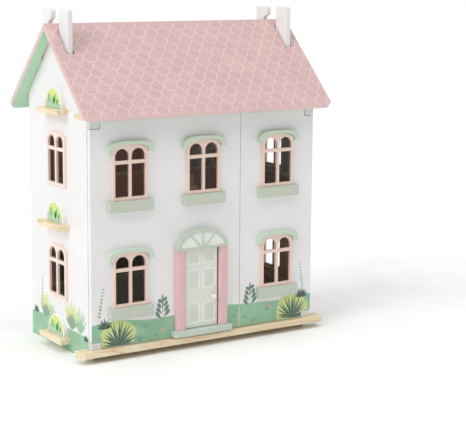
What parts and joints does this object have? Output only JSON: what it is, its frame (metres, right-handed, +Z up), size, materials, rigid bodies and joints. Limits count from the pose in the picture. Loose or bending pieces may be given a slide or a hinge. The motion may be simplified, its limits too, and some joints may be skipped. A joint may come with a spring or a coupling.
{
  "type": "wooden dollhouse",
  "caption": "Wooden dollhouse with pitched lift-off roof boards, hinged front doors, framed windows, arched entrance and stairs between open floors.",
  "frame": {"origin": "centre of the overall footprint, on the ground the side walls stand on", "axes": "+X to the right seen from the front, the front doors face -Y, +Z up"},
  "size_m": [0.53, 0.314, 0.619],
  "materials": {
    "natural_wood": "clear matt lacquer on pale wood",
    "white_board": "satin white paint with printed garden and wallpaper",
    "mint_paint": "satin mint paint",
    "peach_paint": "satin peach paint",
    "pink_paint": "satin pink paint",
    "roof_pink": "satin pink print with fish-scale lines, green print on the other face",
    "pale_mint_paint": "satin pale mint paint with printed panels",
    "plant_print": "printed leaves on white paint",
    "knob_paint": "glossy off-white paint",
    "catch_plastic": "moulded, light grey",
    "steel": "bright"
  },
  "bodies": {
    "house": {"base_board": "natural_wood", "upper_floor": "natural_wood", "attic_floor": "natural_wood", "lower_stairs": "natural_wood", "upper_stairs": "natural_wood", "left_attic_planter_shelf": "natural_wood", "left_upper_planter_shelf": "natural_wood", "left_lower_planter_shelf": "natural_wood", "right_attic_planter_shelf": "natural_wood", "right_upper_planter_shelf": "natural_wood", "right_lower_planter_shelf": "natural_wood", "left_side_wall": "white_board", "right_side_wall": "white_board", "back_wall": "white_board", "left_bottom_pivot_block": "white_board", "left_top_pivot_block": "white_board", "right_bottom_pivot_block": "white_board", "right_top_pivot_block": "white_board", "left_side_upper_window_frame": "peach_paint", "left_side_lower_window_frame": "peach_paint", "right_side_upper_window_frame": "peach_paint", "right_side_lower_window_frame": "peach_paint", "left_attic_planter_board": "plant_print", "left_upper_planter_board": "plant_print", "left_lower_planter_board": "plant_print", "right_attic_planter_board": "plant_print", "right_upper_planter_board": "plant_print", "right_lower_planter_board": "plant_print", "magnetic_catch": "catch_plastic"},
    "left_door": {"left_front_door": "white_board", "upper_left_window_frame": "peach_paint", "upper_left_window_hood": "mint_paint", "upper_left_window_sill": "mint_paint", "upper_middle_window_frame": "peach_paint", "upper_middle_window_hood": "mint_paint", "upper_middle_window_sill": "mint_paint", "lower_left_window_frame": "peach_paint", "lower_left_window_hood": "mint_paint", "lower_left_window_sill": "mint_paint", "entrance_step": "pale_mint_paint", "entrance_left_pilaster": "pink_paint", "entrance_right_pilaster": "pink_paint", "entrance_pediment": "mint_paint", "left_strike_plate": "steel"},
    "right_door": {"right_front_door": "white_board", "upper_right_window_frame": "peach_paint", "upper_right_window_hood": "mint_paint", "upper_right_window_sill": "mint_paint", "lower_right_window_frame": "peach_paint", "lower_right_window_hood": "mint_paint", "lower_right_window_sill": "mint_paint", "right_strike_plate": "steel"},
    "small_door": {"entrance_door": "pale_mint_paint", "door_knob": "knob_paint"},
    "front_roof": {"front_roof_panel": "roof_pink"},
    "back_roof": {"back_roof_panel": "roof_pink"}
  },
  "joints": [
    {"name": "left_door_hinge", "type": "hinge", "parent": "house", "child": "left_door", "pos_m": [-0.236, -0.1225, 0.225], "axis": [0, 0, -1], "range_deg": [0, 125]},
    {"name": "right_door_hinge", "type": "hinge", "parent": "house", "child": "right_door", "pos_m": [0.236, -0.1225, 0.225], "axis": [0, 0, 1], "range_deg": [0, 125]},
    {"name": "small_door_hinge", "type": "hinge", "parent": "left_door", "child": "small_door", "pos_m": [-0.0439, -0.1285, 0.1085], "axis": [0, 0, -1], "range_deg": [0, 90]},
    {"name": "front_roof_lift", "type": "slide", "parent": "house", "child": "front_roof", "axis": [0, 0, 1], "range_m": [0, 0.12]},
    {"name": "back_roof_lift", "type": "slide", "parent": "house", "child": "back_roof", "axis": [0, 0, 1], "range_m": [0, 0.12]}
  ]
}
